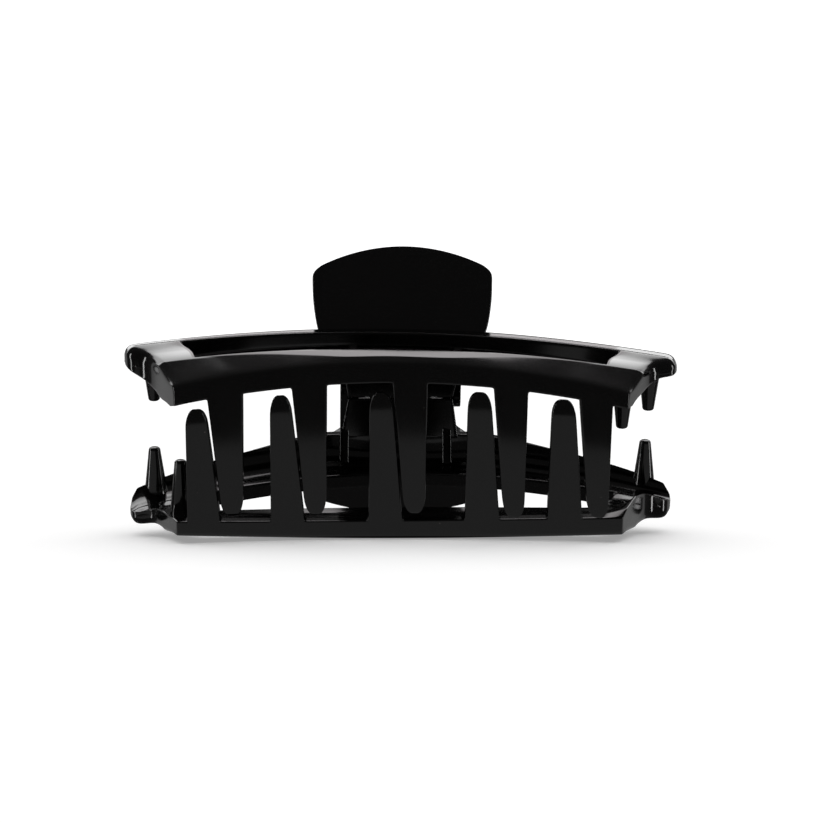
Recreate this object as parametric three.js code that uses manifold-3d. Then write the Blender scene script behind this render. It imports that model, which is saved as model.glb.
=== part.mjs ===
// Claw clip: two toothed jaws that swing on a steel pin, closed by a coiled torsion spring.
// Both jaws are one drawing, the lower one turned half a turn about the front-to-back axis.
// Millimetres. A jaw is drawn flat: x runs along the clip, u back from the teeth to the hinge,
// and z out from the mid-plane where the jaws meet. Bowing and skewing then turn u into y.
import * as THREE from "three";
import Module from "manifold-3d";

// ---- driving dimensions ----
// The frame curves round the head: y falls by bow * x * x. The bow grows from front to back.
const BOW = [[0, 0.0051], [9, 0.0040], [24, 0.0089], [33, 0.0097]];
// The two-cone end stands a little further forward, and a little lower.
const SKEW = [[0, 0.028], [9, 0.041], [24, 0.056], [33, 0.03]];
const DIP = 0.008;
// The back corners of the frame stand a little towards -x.
const SLIDE = { by: -0.3, fullAtU: 27, from: 12, fullAtX: 30 };
const NECK_FLAT = 12; // half-width of the straight stretch at the hinge

// The two combs are spaced so that each tooth of one lies beside a tooth of the other.
const UPRIGHT_SIDES = {
  upper: [32.05, 19.5, 4.15, -11.3, -24.1],
  lower: [32.7, 20.2, 5.0, -10.1, -22.9],
};
const TAPERS = { // how much each slanted side comes in from root to tip
  upper: [1.6, 1.75, 1.7, 1.9, 1.8],
  lower: [1.6, 1.9, 1.7, 1.6, 1.6],
};
const COMB = {
  rootWidths: [4.85, 5.2, 5.3, 5.4, 5.3],
  lengths: [8.65, 9.85, 9.8, 9.85, 9.25], // how far each tip passes the mid-plane
  draft: 0.3, // and how much the upright side does
  rootThickness: 2.2,
  tipThickness: 1.7,
  lean: 0.8, // the tips stand this far forward of the roots
};

const FRONT = { top: 14.6, topDrop: 0.0022, edge: 11.14, edgeDrop: 0.0019 };
const PLATE = { rimExtra: 0.9, rimFade: 26, rimWidth: 1.6, endThinning: 0.5 };
const RIM_CHAMFER = [[0, 0.2], [9, 0.2], [15, 0.6], [22, 1.1], [27, 1.5]]; // the ends' edge is broken, more so at the back
const WINDOW = { front: 9.0, frontOuter: 7.8, back: 24.0, frontHalf: 31.85, backHalf: 35.1 };
// The outer and the inner face at x = 0, and how fast each falls away with x * x.
const CREST = [[0, 14.6], [2.6, 14.84], [7.8, 14.9], [14, 14.3], [19, 13.85], [24, 13.4], [26, 13.2]];
const CREST_DROP = [[0, 0.0022], [2.6, 0.0017], [7.8, 0.00105], [14, 0.0005], [19, 0.0001], [24, -0.0004]];
const UNDER = [[9, 11.9], [14, 12.15], [19, 11.8], [24, 11.1], [26, 11.0]];
const UNDER_DROP = [[9, 0.0009], [24, -0.0001]];
// The front bar falls forward from a shoulder, which lies further back towards the ends.
const SHOULDER = [[0, 2.6], [7, 2.5], [13, 3.9], [20, 6.2], [27, 7.2], [34, 7.4]];
const HALF_WIDTH = [
  [0, 34.2], [9, 38.1], [15, 40.4], [22, 42.6], [27, 43.7], [29.5, 43.8], [31, 43.3], [32.5, 42], [34, 40],
];

const WALL = { start: 26, reach: 6.6, innerReach: 4.4, roundness: 0.8 };
const WALL_EDGE = [[12, 6.2], [23, 7.6], [38, 10.2], [44, 11.9]]; // height of the free edge against |x|
const WEB = { front: 30.6, back: 32.8, bottom: 0.15, top: 6.9 };
const WEB_SIDES = { bottomLeft: -8.9, topLeft: -9.9, bottomRight: 9.0, topRight: 10.4 };

const HINGE = { u: 36, pinRadius: 0.95, holeRadius: 1.04, eyeRadius: 2.7 };
const OUTER_LUG = { from: 8.9, to: 10.4 };
const INNER_LUG = { from: -8.7, to: -7.2 };
const PIN = { halfLength: 10.4, chamfer: 0.25 };

const PADDLE = {
  rootBend: [[32.0, 3.4], [33.9, 7.6], [36.2, 12.6]],
  tip: [42.8, 24.0],
  thickness: 2.2,
  halfWidths: [[0, 9.2], [2.5, 9.5], [5.5, 12.5], [9, 14.65], [16, 15.45], [24, 15.6]],
  tipRadius: 29.5,
  lateral: 0.33, // the blade stands this far off the hinge's centre
  lateralRun: 9,
};

const CONES = [
  { x: 34.8, y: 4.7, u: 14, tip: 2.65 },
  { x: 40.0, y: 13.2, u: 29.5, tip: 3.15 },
  { x: -40.4, y: 18.0, u: 30.5, tip: 3.4 },
];
const CONE = { baseRadius: 1.95, tipRadius: 0.95, tipRound: 0.45 };

const SPRING = { wire: 1.0, coilRadius: 2.0, halfLength: 4.9, turns: 8, legAngle: 74, legLength: 9.6, steps: 124 };

const REST_TILT = 13.93; // degrees: the clip rests on its lower front edge and its lower paddle
const BLACK = 0x0b0b0c;
const STEEL = 0xb9bcc0;

// ---- small helpers ----
const lerp = (a, b, t) => a + (b - a) * t;
const radians = (degrees) => (degrees * Math.PI) / 180;
const share = (at, from, to) => Math.min(1, Math.max(0, (at - from) / (to - from)));

function tableAt(table, at) {
  let k = 1;
  while (k < table.length - 1 && table[k][0] < at) k += 1;
  const [a, va] = table[k - 1];
  const [b, vb] = table[k];
  return lerp(va, vb, Math.min(1, Math.max(0, (at - a) / (b - a))));
}

// Turns the flat drawing into the bowed and skewed jaw. `neck` is 1 where the jaw meets the hinge.
function place(x, u, z, neck) {
  const flat = NECK_FLAT;
  const bow = tableAt(BOW, u);
  const skew = tableAt(SKEW, u);
  const bowed = bow * x * x + skew * x;
  const beyond = Math.max(0, Math.abs(x) - flat);
  const straight = bow * Math.max(0, x * x - flat * flat) + skew * Math.sign(x) * beyond;
  const slide = SLIDE.by * share(u, 0, SLIDE.fullAtU) * share(Math.abs(x), SLIDE.from, SLIDE.fullAtX);
  return [x + slide, u - lerp(bowed, straight, neck), z];
}

// A closed sheet from two grids of points, one for each face. Cells marked absent are holes.
function sheet(outer, inner, present) {
  const rows = outer.length;
  const cols = outer[0].length;
  const points = [];
  const faces = [];
  const index = new Map();
  const vertex = (side, r, c) => {
    const key = `${side},${r},${c}`;
    if (!index.has(key)) {
      index.set(key, points.length / 3);
      points.push(...(side === 0 ? outer : inner)[r][c]);
    }
    return index.get(key);
  };
  const quad = (a, b, c, d) => faces.push(a, b, c, a, c, d);
  const has = (r, c) => r >= 0 && c >= 0 && r < rows - 1 && c < cols - 1 && present(r, c);
  for (let r = 0; r < rows - 1; r += 1) {
    for (let c = 0; c < cols - 1; c += 1) {
      if (!has(r, c)) continue;
      quad(vertex(0, r, c), vertex(0, r, c + 1), vertex(0, r + 1, c + 1), vertex(0, r + 1, c));
      quad(vertex(1, r, c), vertex(1, r + 1, c), vertex(1, r + 1, c + 1), vertex(1, r, c + 1));
      if (!has(r - 1, c)) quad(vertex(0, r, c), vertex(1, r, c), vertex(1, r, c + 1), vertex(0, r, c + 1));
      if (!has(r + 1, c)) {
        quad(vertex(0, r + 1, c + 1), vertex(1, r + 1, c + 1), vertex(1, r + 1, c), vertex(0, r + 1, c));
      }
      if (!has(r, c - 1)) quad(vertex(0, r + 1, c), vertex(1, r + 1, c), vertex(1, r, c), vertex(0, r, c));
      if (!has(r, c + 1)) {
        quad(vertex(0, r, c + 1), vertex(1, r, c + 1), vertex(1, r + 1, c + 1), vertex(0, r + 1, c + 1));
      }
    }
  }
  return { points, faces };
}

const wasm = await Module();
wasm.setup();
const { Manifold, Mesh } = wasm;

function solid({ points, faces }) {
  const made = new Manifold(new Mesh({
    numProp: 3,
    vertProperties: new Float32Array(points),
    triVerts: new Uint32Array(faces),
  }));
  return made;
}

// ---- frame and teeth ----
const halfWidth = (u) => tableAt(HALF_WIDTH, u);
const rimChamfer = (u) => tableAt(RIM_CHAMFER, u);

const crest = (x, u) => tableAt(CREST, u) - tableAt(CREST_DROP, u) * x * x - DIP * x;
const under = (x, u) => tableAt(UNDER, u) - tableAt(UNDER_DROP, u) * x * x - DIP * x;
const shoulder = (x) => tableAt(SHOULDER, Math.abs(x));

function teeth(side) {
  return UPRIGHT_SIDES[side].map((upright, k) => ({
    right: upright,
    taper: TAPERS[side][k],
    rootWidth: COMB.rootWidths[k],
    length: COMB.lengths[k],
  })).reverse(); // from -x to +x
}

const TOOTH_ROWS = [0, 0.025, 0.07, 0.14, 0.4, 0.7]; // from tip to root
const COLUMNS = 22;
const ENDS = [0, 1, COLUMNS - 2, COLUMNS - 1];

// The x of every column where the comb meets the front bar.
function frontColumns(comb) {
  const xs = [-halfWidth(0), -31.2];
  comb.forEach((tooth, k) => {
    const left = tooth.right - tooth.rootWidth;
    if (k > 0) xs.push(lerp(comb[k - 1].right, left, 0.5));
    xs.push(left, lerp(left, tooth.right, 0.5), tooth.right);
  });
  xs.push(halfWidth(0));
  return xs; // 2 + 5 * 3 + 4 + 1
}

function frameColumns(u) {
  const along = Math.min(1, (u - WINDOW.front) / (WINDOW.back - WINDOW.front));
  const window = lerp(WINDOW.frontHalf, WINDOW.backHalf, Math.max(0, along));
  const end = halfWidth(u);
  const xs = [-end, -end + PLATE.rimWidth];
  for (let k = 0; k < COLUMNS - 4; k += 1) xs.push(lerp(-window, window, k / (COLUMNS - 5)));
  xs.push(end - PLATE.rimWidth, end);
  return xs;
}

function frameSheet(side) {
  const comb = teeth(side);
  const front = frontColumns(comb);
  const toothOf = (c) => comb.findIndex((_, k) => c >= 2 + 4 * k && c < 4 + 4 * k);
  const outer = [];
  const inner = [];
  const edgeAt = (x) => FRONT.edge - FRONT.edgeDrop * x * x;
  const topAt = (x) => FRONT.top - FRONT.topDrop * x * x - DIP * x;

  for (const f of TOOTH_ROWS) {
    const a = [];
    const b = [];
    for (let c = 0; c < COLUMNS; c += 1) {
      const k = Math.min(4, Math.max(0, Math.floor((c - 2) / 4)));
      const tooth = comb[k];
      const part = Math.min(2, Math.max(0, c - 2 - 4 * k)) / 2; // 0 slanted side, 1 upright side
      const width = tooth.rootWidth - (tooth.taper + COMB.draft) * (1 - f);
      const round = f < 0.14 ? 1 - Math.sqrt(1 - ((0.14 - f) / 0.14) ** 2) : 0;
      const mid = tooth.right - COMB.draft * (1 - f) - width / 2;
      const x = mid + (part - 0.5) * width * (1 - 0.75 * round);
      const z = lerp(-tooth.length, edgeAt(x), f);
      const face = -COMB.lean * (1 - f) ** 1.5;
      const depth = lerp(COMB.tipThickness, COMB.rootThickness, f);
      a.push(place(x, face + 0.35 * round, z, 0));
      b.push(place(x, face + depth - 0.6 * round, z, 0));
    }
    outer.push(a);
    inner.push(b);
  }

  const bar = [ // u and z of the outer face above the bar's edge, then the same for the inner face
    (x) => [0, edgeAt(x), 2.2, edgeAt(x) + 0.15],
    (x) => [0, lerp(edgeAt(x), topAt(x), 0.55), 3.2, edgeAt(x) + 0.4],
    (x) => [0.15, topAt(x) - 0.8, 4.2, edgeAt(x) + 0.6],
    (x) => [1.1, topAt(x) - 0.1, 5.4, edgeAt(x) + 0.8],
    (x) => [shoulder(x), crest(x, shoulder(x)), 6.8, edgeAt(x) + 1.0],
  ];
  for (const section of bar) {
    const a = [];
    const b = [];
    for (let c = 0; c < COLUMNS; c += 1) {
      const [uo, , ui] = section(front[c]);
      const xo = lerp(front[c], frameColumns(WINDOW.front)[c], uo / WINDOW.front);
      const xi = lerp(front[c], frameColumns(WINDOW.front)[c], Math.max(0, ui - 2.2) / (WINDOW.front - 2.2));
      const isEnd = c === 0 || c === COLUMNS - 1;
      const chamfer = isEnd ? rimChamfer(uo) * Math.min(1, (section(xo)[1] - edgeAt(xo)) / 3) : 0;
      const fo = isEnd ? Math.sign(xo) * halfWidth(uo) : xo;
      const fi = isEnd ? Math.sign(xi) * halfWidth(ui) : xi;
      a.push(place(fo, uo, section(fo)[1] - chamfer, 0));
      b.push(place(fi, ui, section(fi)[3], 0));
    }
    outer.push(a);
    inner.push(b);
  }

  const isRim = (c) => c === 0 || c === COLUMNS - 1;
  const isThin = (c) => c === COLUMNS - 1; // the two-cone end has the thinner rim
  for (const u of [9, 14, 19, 24]) {
    const xs = frameColumns(u);
    const uo = u === WINDOW.front ? WINDOW.frontOuter : u;
    const rim = (x, c) => (isRim(c) ? Math.sign(x) * halfWidth(uo) : x);
    outer.push(xs.map((x, c) => place(rim(x, c), uo, crest(x, uo) - (isRim(c) ? rimChamfer(uo) : 0), 0)));
    inner.push(xs.map((x, c) => {
      const extra = PLATE.rimExtra * (ENDS.includes(c) ? 1 : 0) * (1 - u / PLATE.rimFade);
      const thin = isThin(c) ? PLATE.endThinning * (u / WALL.start) ** 2 : 0;
      return place(x, u, under(x, u) - extra + thin, 0);
    }));
  }

  for (const t of [0, 0.18, 0.36, 0.54, 0.7, 0.85, 1]) {
    const a = [];
    const b = [];
    for (let c = 0; c < COLUMNS; c += 1) {
      let x = frameColumns(WALL.start)[c];
      let uo = WALL.start;
      let at = null;
      for (let pass = 0; pass < 4; pass += 1) { // the end columns draw in as the wall runs back
        at = wallAt(x, t);
        uo = at.uo;
        x = ENDS.includes(c) ? frameColumns(uo)[c] : x;
      }
      const chamfer = isRim(c) ? rimChamfer(at.uo) * (1 - t) : 0;
      const thin = isThin(c) ? PLATE.endThinning * (1 - t) : 0;
      a.push(place(x, at.uo, at.zo - chamfer, t));
      b.push(place(x, at.ui, at.zi + thin, t));
    }
    outer.push(a);
    inner.push(b);
  }

  const windowRow = TOOTH_ROWS.length + bar.length;
  const present = (r, c) => {
    if (r < TOOTH_ROWS.length) return toothOf(c) >= 0;
    const inWindow = r >= windowRow && r < windowRow + 3;
    return !(inWindow && c >= 2 && c < COLUMNS - 3);
  };
  return sheet(outer, inner, present);
}

// The back wall turns down from the plate towards the mid-plane. t runs from the plate to its free edge.
function wallAt(x, t) {
  const top = crest(x, WALL.start);
  const lowest = WALL_EDGE[0][1];
  const edge = Math.min(top - 0.3, tableAt(WALL_EDGE, Math.abs(x)));
  const fall = (edge - lowest) / (top - lowest);
  const turn = Math.acos(fall ** (1 / WALL.roundness)) * t;
  const along = Math.sin(turn) ** WALL.roundness;
  const down = Math.cos(turn) ** WALL.roundness;
  return {
    uo: WALL.start + WALL.reach * along,
    zo: lowest + (top - lowest) * down,
    ui: WALL.start + WALL.innerReach * along,
    zi: lowest + (under(x, WALL.start) - lowest) * down,
  };
}

// ---- paddle ----
function paddleLine(s) { // point and direction at the distance s from the root
  const [p, q, r] = PADDLE.rootBend;
  const bend = Math.hypot(r[0] - p[0], r[1] - p[1]);
  const run = [PADDLE.tip[0] - r[0], PADDLE.tip[1] - r[1]];
  const runLength = Math.hypot(...run);
  if (s >= bend) {
    const d = [run[0] / runLength, run[1] / runLength];
    return { at: [r[0] + d[0] * (s - bend), r[1] + d[1] * (s - bend)], along: d };
  }
  const t = s / bend;
  const at = [0, 1].map((i) => lerp(lerp(p[i], q[i], t), lerp(q[i], r[i], t), t));
  const d = [0, 1].map((i) => lerp(q[i] - p[i], r[i] - q[i], t));
  const size = Math.hypot(...d);
  return { at, along: [d[0] / size, d[1] / size] };
}

function paddleSheet() {
  const [p, , r] = PADDLE.rootBend;
  const length = Math.hypot(r[0] - p[0], r[1] - p[1]) + Math.hypot(PADDLE.tip[0] - r[0], PADDLE.tip[1] - r[1]);
  const outer = [];
  const inner = [];
  const half = PADDLE.thickness / 2;
  for (const t of [0, 0.1, 0.17, 0.24, 0.32, 0.42, 0.55, 0.75, 0.91, 0.97, 1]) {
    const a = [];
    const b = [];
    for (let c = -4; c <= 4; c += 1) {
      const corner = t > 0.9 ? ((t - 0.9) / 0.1) ** 3 * 1.5 : 0;
      const across = (c / 4) * (tableAt(PADDLE.halfWidths, t * length) - corner);
      const sag = PADDLE.tipRadius - Math.sqrt(PADDLE.tipRadius ** 2 - across ** 2);
      const line = paddleLine(t * (length - sag * t * t));
      const [du, dz] = line.along;
      const x = across + PADDLE.lateral * share(t * length, 0, PADDLE.lateralRun);
      a.push([x, line.at[0] - dz * half, line.at[1] + du * half]);
      b.push([x, line.at[0] + dz * half, line.at[1] - du * half]);
    }
    outer.push(a);
    inner.push(b);
  }
  return sheet(outer, inner, () => true);
}

// ---- prisms and turned solids ----
// A plate between two x planes with its outline in (u, z).
function plate(outline, from, to) {
  const shape = new THREE.Shape(outline.map(([u, z]) => new THREE.Vector2(u, z)));
  const made = new THREE.ExtrudeGeometry(shape, { depth: to - from, bevelEnabled: false });
  made.applyMatrix4(new THREE.Matrix4().set(0, 0, 1, from, 1, 0, 0, 0, 0, 1, 0, 0, 0, 0, 0, 1));
  return solidOf(made);
}

function solidOf(geometry) {
  const source = geometry.index ? geometry.toNonIndexed() : geometry;
  const position = source.getAttribute("position");
  const points = [];
  const faces = [];
  const seen = new Map();
  const corner = new THREE.Vector3();
  for (let k = 0; k < position.count; k += 1) {
    corner.fromBufferAttribute(position, k);
    const key = corner.toArray().map((v) => Math.round(v * 1e4)).join(",");
    if (!seen.has(key)) {
      seen.set(key, points.length / 3);
      points.push(corner.x, corner.y, corner.z);
    }
    faces.push(seen.get(key));
  }
  const whole = [];
  for (let k = 0; k < faces.length; k += 3) {
    const [a, b, c] = faces.slice(k, k + 3);
    if (a !== b && b !== c && c !== a) whole.push(a, b, c);
  }
  return solid({ points, faces: whole });
}

// A turned solid about the x axis through the hinge. The profile runs in (radius, x).
function turnedOnHinge(profile, sides) {
  const made = new THREE.LatheGeometry(profile.map(([r, x]) => new THREE.Vector2(r, x)), sides);
  made.rotateZ(-Math.PI / 2); // the lathe's y axis becomes x
  made.translate(0, HINGE.u, 0);
  return made;
}

const arc = (radius, from, to, steps) => Array.from({ length: steps + 1 }, (_, k) => {
  const angle = radians(lerp(from, to, k / steps));
  return [HINGE.u + radius * Math.cos(angle), radius * Math.sin(angle)];
});

function lug({ from, to }) {
  const outline = [
    [27.6, 10.6],
    ...arc(HINGE.eyeRadius, 182, 372, 14),
    [36.0, 8.2],
    [35.2, 8.4],
    [34.1, 6.0],
    [32.0, 6.3],
    [31.3, 8.5],
    [29.4, 10.4],
  ];
  return plate(outline, from, to);
}

function cone({ x, y, u, tip }) {
  const top = under(x, u) + 0.8;
  const height = top - tip;
  const profile = [
    [0, 0],
    [CONE.tipRadius - CONE.tipRound, 0],
    [CONE.tipRadius - 0.1, CONE.tipRound * 0.3],
    [CONE.tipRadius, CONE.tipRound],
    [CONE.baseRadius, height - 0.9],
    [CONE.baseRadius + 0.35, height],
    [0, height],
  ].map(([r, h]) => new THREE.Vector2(r, h));
  const made = new THREE.LatheGeometry(profile, 14);
  made.rotateX(Math.PI / 2); // the lathe's y axis becomes z
  made.translate(x, y, tip);
  return solidOf(made);
}

// The web closes the neck in front of the spring. Its outline is drawn in (x, z).
function web() {
  const { bottomLeft, topLeft, bottomRight, topRight } = WEB_SIDES;
  const shape = new THREE.Shape([
    new THREE.Vector2(bottomLeft, WEB.bottom),
    new THREE.Vector2(bottomRight, WEB.bottom),
    new THREE.Vector2(topRight, WEB.top),
    new THREE.Vector2(topLeft, WEB.top),
  ]);
  const made = new THREE.ExtrudeGeometry(shape, { depth: WEB.back - WEB.front, bevelEnabled: false });
  made.rotateX(Math.PI / 2); // the outline stands up and the depth runs forward
  made.translate(0, WEB.back, 0);
  return solidOf(made);
}

// ---- the jaw: frame, teeth, back wall, web, paddle and lugs moulded as one piece ----
function jaw(side) {
  const pieces = [
    solid(frameSheet(side)),
    solid(paddleSheet()),
    web(),
    lug(OUTER_LUG),
    lug(INNER_LUG),
    ...CONES.map(cone),
  ];
  const bore = solidOf(turnedOnHinge([[0, -20], [HINGE.holeRadius, -20], [HINGE.holeRadius, 20], [0, 20]], 24));
  return Manifold.union(pieces).subtract(bore);
}

function geometryOf(body) {
  const mesh = body.getMesh();
  const made = new THREE.BufferGeometry();
  const count = mesh.vertProperties.length / mesh.numProp;
  const points = new Float32Array(count * 3);
  for (let k = 0; k < count; k += 1) {
    for (let i = 0; i < 3; i += 1) points[3 * k + i] = mesh.vertProperties[k * mesh.numProp + i];
  }
  made.setAttribute("position", new THREE.BufferAttribute(points, 3));
  made.setIndex([...mesh.triVerts]);
  return made;
}

// ---- hinge pin ----
function pin() {
  const { halfLength, chamfer } = PIN;
  return turnedOnHinge([
    [0, -halfLength],
    [HINGE.pinRadius - chamfer, -halfLength],
    [HINGE.pinRadius, -halfLength + chamfer],
    [HINGE.pinRadius, halfLength - chamfer],
    [HINGE.pinRadius - chamfer, halfLength],
    [0, halfLength],
  ], 24);
}

// ---- torsion spring: one wire, a coil with a straight leg against each paddle ----
class SpringLine extends THREE.Curve {
  getPoint(t) {
    const { coilRadius, halfLength, turns, legAngle, legLength } = SPRING;
    const start = radians(270 - legAngle);
    const sweep = radians(360 * turns + 180 - 2 * legAngle);
    const coilLength = coilRadius * sweep;
    const along = t * (coilLength + 2 * legLength) - legLength;
    const onCoil = Math.min(1, Math.max(0, along / coilLength));
    const angle = start - sweep * onCoil;
    const past = Math.max(-along, along - coilLength, 0); // the distance out along a leg
    const side = along < 0 ? -1 : 1;
    return new THREE.Vector3(
      lerp(-halfLength, halfLength, onCoil),
      HINGE.u + coilRadius * Math.cos(angle) + past * Math.cos(radians(legAngle)),
      coilRadius * Math.sin(angle) + side * past * Math.sin(radians(legAngle)),
    );
  }
}

function springGeometry() {
  const section = new THREE.Shape().absarc(0, 0, SPRING.wire / 2, 0, 2 * Math.PI);
  return new THREE.ExtrudeGeometry(section, {
    extrudePath: new SpringLine(),
    steps: SPRING.steps,
    curveSegments: 4,
    bevelEnabled: false,
  });
}

// ---- assembly ----
function named(name, geometry, color, roughness, metalness) {
  const mesh = new THREE.Mesh(geometry, new THREE.MeshStandardMaterial({ color, roughness, metalness }));
  mesh.name = name;
  return mesh;
}

const lowerJaw = named("lower_jaw", geometryOf(jaw("lower")), BLACK, 0.18, 0);
lowerJaw.rotation.y = Math.PI;
const upperJaw = named("upper_jaw", geometryOf(jaw("upper")), BLACK, 0.18, 0);
const hingePin = named("hinge_pin", pin(), STEEL, 0.3, 1);
const spring = named("torsion_spring", springGeometry(), STEEL, 0.3, 1);

// The clip lies back on its lower front edge and lower paddle, and then stands at the origin.
const laid = new THREE.Group();
laid.rotation.x = radians(REST_TILT);
laid.add(lowerJaw, upperJaw, hingePin, spring);

const clip = new THREE.Group();
clip.name = "claw_clip";
clip.add(laid);
clip.updateMatrixWorld(true);
const bounds = new THREE.Box3().setFromObject(clip, true);
const middle = bounds.getCenter(new THREE.Vector3());
laid.position.set(-middle.x, -middle.y, -bounds.min.z);
clip.updateMatrixWorld(true);

export default clip;
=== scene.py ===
"""A black claw clip: two moulded jaws on a steel pin, closed by a coiled spring.

The jaws are drawn flat in millimetres: x along the clip, u back from the teeth to the hinge and
z out from the mid-plane where the jaws meet. place() bows the drawing round the head. to_world()
turns the lower jaw's over, tilts both about the hinge pin to the way the clip lies, and scales them
to metres.
"""
import math

import bmesh
import bpy
from mathutils import Matrix, Vector, noise


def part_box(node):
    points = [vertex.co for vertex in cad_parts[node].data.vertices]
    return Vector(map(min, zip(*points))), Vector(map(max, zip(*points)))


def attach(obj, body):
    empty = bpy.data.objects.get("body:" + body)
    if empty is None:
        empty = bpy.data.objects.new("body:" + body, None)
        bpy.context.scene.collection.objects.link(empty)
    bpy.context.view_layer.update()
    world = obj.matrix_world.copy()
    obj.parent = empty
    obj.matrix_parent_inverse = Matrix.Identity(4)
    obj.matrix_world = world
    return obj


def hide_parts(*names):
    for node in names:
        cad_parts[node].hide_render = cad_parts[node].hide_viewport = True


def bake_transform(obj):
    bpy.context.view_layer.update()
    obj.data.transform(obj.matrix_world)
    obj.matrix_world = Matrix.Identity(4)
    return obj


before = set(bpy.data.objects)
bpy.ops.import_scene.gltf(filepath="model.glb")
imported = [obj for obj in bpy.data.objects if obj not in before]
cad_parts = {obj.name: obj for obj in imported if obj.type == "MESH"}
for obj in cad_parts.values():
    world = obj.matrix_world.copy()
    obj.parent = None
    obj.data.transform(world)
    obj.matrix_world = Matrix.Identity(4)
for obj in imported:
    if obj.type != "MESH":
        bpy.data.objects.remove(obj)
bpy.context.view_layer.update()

MM = 0.001
TILT = math.radians(13.93)
HINGE_U = 36.0
PIN_LOW, PIN_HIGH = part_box("hinge_pin")
PIN_CENTRE = (PIN_LOW + PIN_HIGH) / 2


# ---------------------------------------------------------------- drawing helpers
def lerp(a, b, t):
    return a + (b - a) * t


def smoothstep(a, b, t):
    t = min(1.0, max(0.0, (t - a) / (b - a)))
    return t * t * (3 - 2 * t)


class Smooth:
    """A smooth curve through a table of points, which never overshoots them."""

    def __init__(self, points):
        self.x = [p[0] for p in points]
        self.y = [p[1] for p in points]
        n = len(points)
        step = [(self.y[i + 1] - self.y[i]) / (self.x[i + 1] - self.x[i]) for i in range(n - 1)]
        self.slope = [step[0]] + [0.0] * (n - 2) + [step[-1]]
        for i in range(1, n - 1):
            if step[i - 1] * step[i] > 0:
                self.slope[i] = 2 * step[i - 1] * step[i] / (step[i - 1] + step[i])

    def __call__(self, at):
        x, y = self.x, self.y
        if at <= x[0]:
            return y[0]
        if at >= x[-1]:
            return y[-1]
        i = max(k for k in range(len(x) - 1) if x[k] <= at)
        width = x[i + 1] - x[i]
        t = (at - x[i]) / width
        return (
            y[i] * (1 + 2 * t) * (1 - t) ** 2
            + self.slope[i] * width * t * (1 - t) ** 2
            + y[i + 1] * t * t * (3 - 2 * t)
            + self.slope[i + 1] * width * t * t * (t - 1)
        )


def soft_positive(value, width):
    """The value where it is positive and nearly 0 where it is negative, rounded over the width."""
    return 0.5 * (value + math.sqrt(value * value + width * width))


# ---------------------------------------------------------------- the drawing's dimensions, mm
# The jaws are bowed and skewed in plan: u shifts by bow * x**2 + skew * x. Across the neck, whose
# back wall and paddle are straight, the shift fades out.
BOW = Smooth([(0, 0.0051), (9, 0.0040), (24, 0.0089), (33, 0.0097)])
SKEW = Smooth([(0, 0.028), (9, 0.041), (24, 0.056), (33, 0.03)])
DIP = 0.008
NECK_FLAT = 12.0
NECK_BLEND, NECK_BLEND_SQUARED = 1.5, 30
SLIDE, SLIDE_FULL_U, SLIDE_FROM_X, SLIDE_FULL_X = -0.3, 27, 12, 30
# The comb. The x of each tooth's steeper side, then what every tooth tapers by.
UPRIGHT_SIDES = {
    "upper": [-24.1, -11.3, 4.15, 19.5, 32.05],
    "lower": [-22.9, -10.1, 5.0, 20.2, 32.7],
}
TAPERS = {"upper": [1.8, 1.9, 1.7, 1.75, 1.6], "lower": [1.6, 1.6, 1.7, 1.9, 1.6]}
ROOT_WIDTHS = [5.3, 5.4, 5.3, 5.2, 4.85]
LENGTHS = [9.25, 9.85, 9.8, 9.85, 8.65]
TEETH = len(LENGTHS)
DRAFT = 0.3
ROOT_DEPTH, TIP_DEPTH = 2.2, 1.7
LEAN = 0.8
TIP_SHARE = 0.14
TIP_WIDTH, TIP_SETBACK_FRONT, TIP_SETBACK_BACK = 0.3, 0.45, 0.6
# The plate: its outer face, its inner face, and how much both fall per x**2.
CREST = Smooth([
    (0, 14.6), (2.6, 14.84), (7.8, 14.9), (14, 14.3), (19, 13.85), (24, 13.4), (26, 13.2),
])
CREST_DROP = Smooth([
    (0, 0.0022), (2.6, 0.0017), (7.8, 0.00105), (14, 0.0005), (19, 0.0001), (24, -0.0004),
])
UNDER = Smooth([(9, 11.9), (14, 12.15), (19, 11.8), (24, 11.1), (26, 11.0)])
UNDER_DROP = Smooth([(9, 0.0009), (24, -0.0001)])
# The front bar falls forward from its shoulder to its brow.
FRONT_TOP, FRONT_TOP_DROP = 14.56, 0.0022
FRONT_EDGE, FRONT_EDGE_DROP = 11.14, 0.0019
SHOULDER = Smooth([(0, 2.6), (7, 2.5), (13, 3.9), (20, 6.2), (27, 7.1), (34, 7.3)])
SHOULDER_WANDER, SHOULDER_WAVES = 0.22, 0.16
BROW, BROW_SOFTNESS = 1.1, 0.1
INSET = 0.02
# The rims at the two ends.
RIM_WIDTH, END_THINNING = 1.5, 0.5
RIM_EXTRA, RIM_FADE, RIM_EXTRA_FROM_X, RIM_EXTRA_FULL_X = 0.9, 26.0, 30, 36
SKIRT = Smooth([(0, 0.2), (5, 1.3), (10, 2.0), (15, 1.7), (21, 0.9), (28, 0.0)])
SKIRT_WIDTH = 2.4
RIM_CHAMFER = Smooth([(0, 0.4), (9, 0.8), (15, 1.0), (22, 1.2), (27, 1.4)])
HALF_WIDTH = Smooth([
    (0, 34.2), (9, 38.1), (15, 40.4), (22, 42.6), (27, 43.7), (29.5, 43.79),
    (31, 43.3), (32.5, 42), (34, 40),
])
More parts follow.
